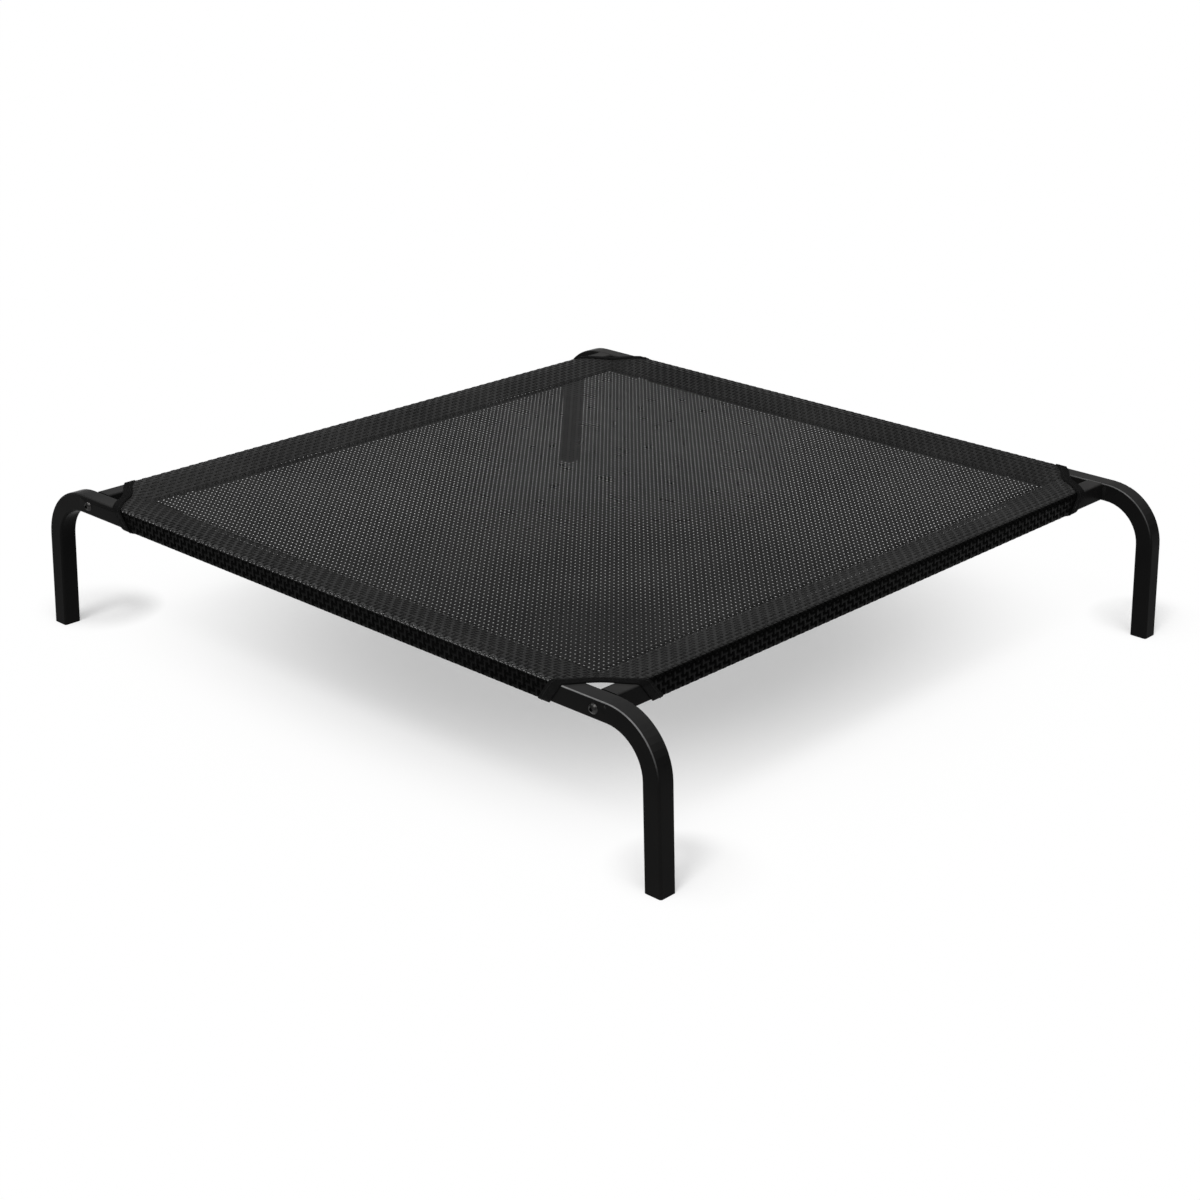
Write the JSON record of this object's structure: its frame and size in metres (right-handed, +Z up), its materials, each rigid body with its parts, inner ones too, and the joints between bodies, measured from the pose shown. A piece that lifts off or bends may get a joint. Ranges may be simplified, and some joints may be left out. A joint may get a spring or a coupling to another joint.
{
  "type": "raised dog cot",
  "caption": "Raised dog cot: a tight see-through mesh cover, sleeved over a bolted square-tube frame with bent legs, that holds a dog clear of the ground.",
  "frame": {"origin": "on the floor, under the middle of the deck", "axes": "+X along the two bent leg frames, +Y along the two side rails, +Z up"},
  "size_m": [0.9, 0.8358, 0.1673],
  "materials": {
    "frame_paint": "satin black powder coat",
    "plug_steel": "zinc-plated steel",
    "bolt_black": "black oxide steel",
    "foot_plastic": "moulded black plastic",
    "mesh": "black vinyl-coated woven mesh",
    "binding_tape": "black woven binding tape"
  },
  "bodies": {
    "root": {"leg_frame_front": "frame_paint", "leg_frame_rear": "frame_paint", "side_rail_left": "frame_paint", "side_rail_right": "frame_paint", "nut_plug_front_left": "plug_steel", "nut_plug_front_right": "plug_steel", "nut_plug_rear_left": "plug_steel", "nut_plug_rear_right": "plug_steel", "corner_bolt_front_left": "bolt_black", "corner_bolt_front_right": "bolt_black", "corner_bolt_rear_left": "bolt_black", "corner_bolt_rear_right": "bolt_black", "foot_plug_front_left": "foot_plastic", "foot_plug_front_right": "foot_plastic", "foot_plug_rear_left": "foot_plastic", "foot_plug_rear_right": "foot_plastic", "mesh_deck": "mesh", "sleeve_front": "mesh", "sleeve_rear": "mesh", "sleeve_left": "mesh", "sleeve_right": "mesh", "corner_binding_front_left": "binding_tape", "corner_binding_front_right": "binding_tape", "corner_binding_rear_left": "binding_tape", "corner_binding_rear_right": "binding_tape"}
  },
  "joints": []
}
